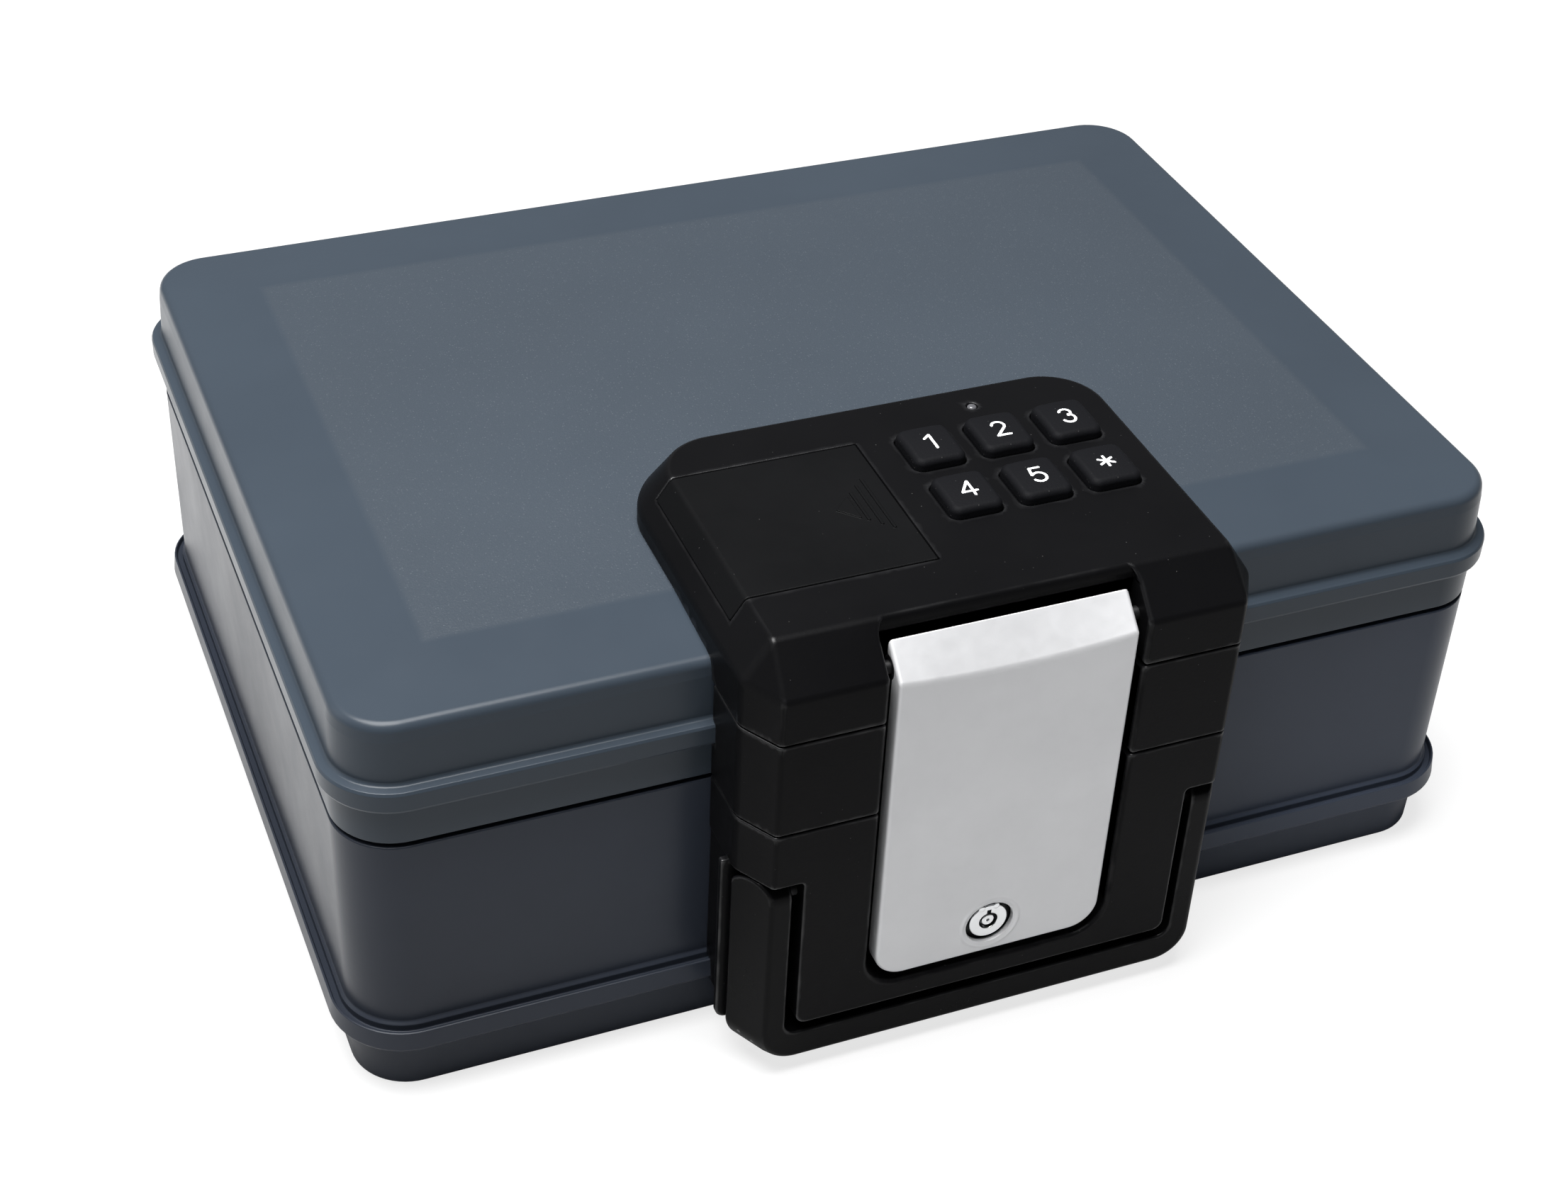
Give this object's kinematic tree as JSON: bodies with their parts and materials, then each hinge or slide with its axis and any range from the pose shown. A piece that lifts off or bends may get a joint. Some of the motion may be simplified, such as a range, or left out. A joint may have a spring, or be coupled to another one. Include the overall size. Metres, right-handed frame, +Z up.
{
  "type": "fireproof document box",
  "caption": "Insulated fire-resistant document box with a hinged lid, a front keypad housing, a lift-up latch with a tubular key lock, and a fold-out carrying handle.",
  "frame": {"origin": "middle of the overall footprint, on the plane the feet stand on", "axes": "+X to the right seen from the latch side, +Y to the back where the lid hinges are, +Z up"},
  "size_m": [0.3802, 0.3092, 0.1631],
  "materials": {
    "shell_plastic": "satin moulded blue-grey plastic, grained on the lid panel",
    "black_plastic": "fine matte black moulded plastic",
    "liner_plastic": "smooth dark grey plastic",
    "insulation": "cast mineral fill",
    "rubber": "soft matte rubber",
    "silver_paint": "satin silver finish",
    "steel": "plain plated steel",
    "chrome": "polished plating",
    "circuit_board": "green lacquered board",
    "cell_wrap": "printed foil wrap",
    "clear_lens": "clear"
  },
  "bodies": {
    "base": {"base_outer_shell": "shell_plastic", "base_insulation": "insulation", "base_liner": "liner_plastic", "latch_base_block": "black_plastic", "strike_plate": "steel", "handle_pin_left": "steel", "handle_pin_right": "steel", "foot_1": "rubber", "foot_2": "rubber", "foot_3": "rubber", "foot_4": "rubber", "hinge_base_left": "black_plastic", "hinge_base_right": "black_plastic", "hinge_pin_left": "steel", "hinge_pin_right": "steel", "hinge_base_screw_left_a": "steel", "hinge_base_screw_left_b": "steel", "hinge_base_screw_right_a": "steel", "hinge_base_screw_right_b": "steel"},
    "lid": {"lid_outer_shell": "shell_plastic", "lid_insulation": "insulation", "lid_liner": "liner_plastic", "lid_gasket": "rubber", "keypad_housing": "black_plastic", "latch_lid_block": "black_plastic", "control_board": "circuit_board", "keypad_mat": "rubber", "battery_1": "cell_wrap", "battery_2": "cell_wrap", "battery_3": "cell_wrap", "battery_4": "cell_wrap", "battery_contact_left": "steel", "battery_contact_right": "steel", "led_lens": "clear_lens", "hinge_lid_left": "black_plastic", "hinge_lid_right": "black_plastic", "hinge_lid_screw_left_a": "steel", "hinge_lid_screw_left_b": "steel", "hinge_lid_screw_right_a": "steel", "hinge_lid_screw_right_b": "steel", "solenoid_body": "steel", "latch_pin": "steel"},
    "latch": {"latch_cover": "silver_paint", "latch_carrier": "black_plastic", "lock_cylinder": "chrome", "lock_nut": "steel"},
    "lock_plug": {"lock_plug": "chrome", "lock_cam": "steel", "cam_screw": "steel"},
    "blocker": {"solenoid_plunger": "chrome"},
    "battery_cover": {"battery_cover": "black_plastic"},
    "handle": {"carry_handle": "black_plastic"},
    "key_1": {"key_1": "rubber"},
    "key_2": {"key_2": "rubber"},
    "key_3": {"key_3": "rubber"},
    "key_4": {"key_4": "rubber"},
    "key_5": {"key_5": "rubber"},
    "key_star": {"key_star": "rubber"}
  },
  "joints": [
    {"name": "lid_hinge", "type": "hinge", "parent": "base", "child": "lid", "pos_m": [0, 0.1502, 0.0973], "axis": [-1, 0, 0], "range_deg": [0, 95]},
    {"name": "latch_hinge", "type": "hinge", "parent": "lid", "child": "latch", "pos_m": [0, -0.1464, 0.145], "axis": [-1, 0, 0], "range_deg": [0, 80]},
    {"name": "lock_turn", "type": "hinge", "parent": "latch", "child": "lock_plug", "pos_m": [0, -0.1546, 0.0432], "axis": [0, 1, 0], "range_deg": [0, 90]},
    {"name": "blocker_slide", "type": "slide", "parent": "lid", "child": "blocker", "axis": [-1, 0, 0], "range_m": [0, 0.006]},
    {"name": "battery_cover_slide", "type": "slide", "parent": "lid", "child": "battery_cover", "axis": [-1, 0, 0], "range_m": [0, 0.045]},
    {"name": "handle_hinge", "type": "hinge", "parent": "base", "child": "handle", "pos_m": [0, -0.1473, 0.0709], "axis": [-1, 0, 0], "range_deg": [0, 90]},
    {"name": "key_1_press", "type": "slide", "parent": "lid", "child": "key_1", "axis": [0, 0, -1], "range_m": [0, 0.0012]},
    {"name": "key_2_press", "type": "slide", "parent": "lid", "child": "key_2", "axis": [0, 0, -1], "range_m": [0, 0.0012]},
    {"name": "key_3_press", "type": "slide", "parent": "lid", "child": "key_3", "axis": [0, 0, -1], "range_m": [0, 0.0012]},
    {"name": "key_4_press", "type": "slide", "parent": "lid", "child": "key_4", "axis": [0, 0, -1], "range_m": [0, 0.0012]},
    {"name": "key_5_press", "type": "slide", "parent": "lid", "child": "key_5", "axis": [0, 0, -1], "range_m": [0, 0.0012]},
    {"name": "key_star_press", "type": "slide", "parent": "lid", "child": "key_star", "axis": [0, 0, -1], "range_m": [0, 0.0012]}
  ]
}
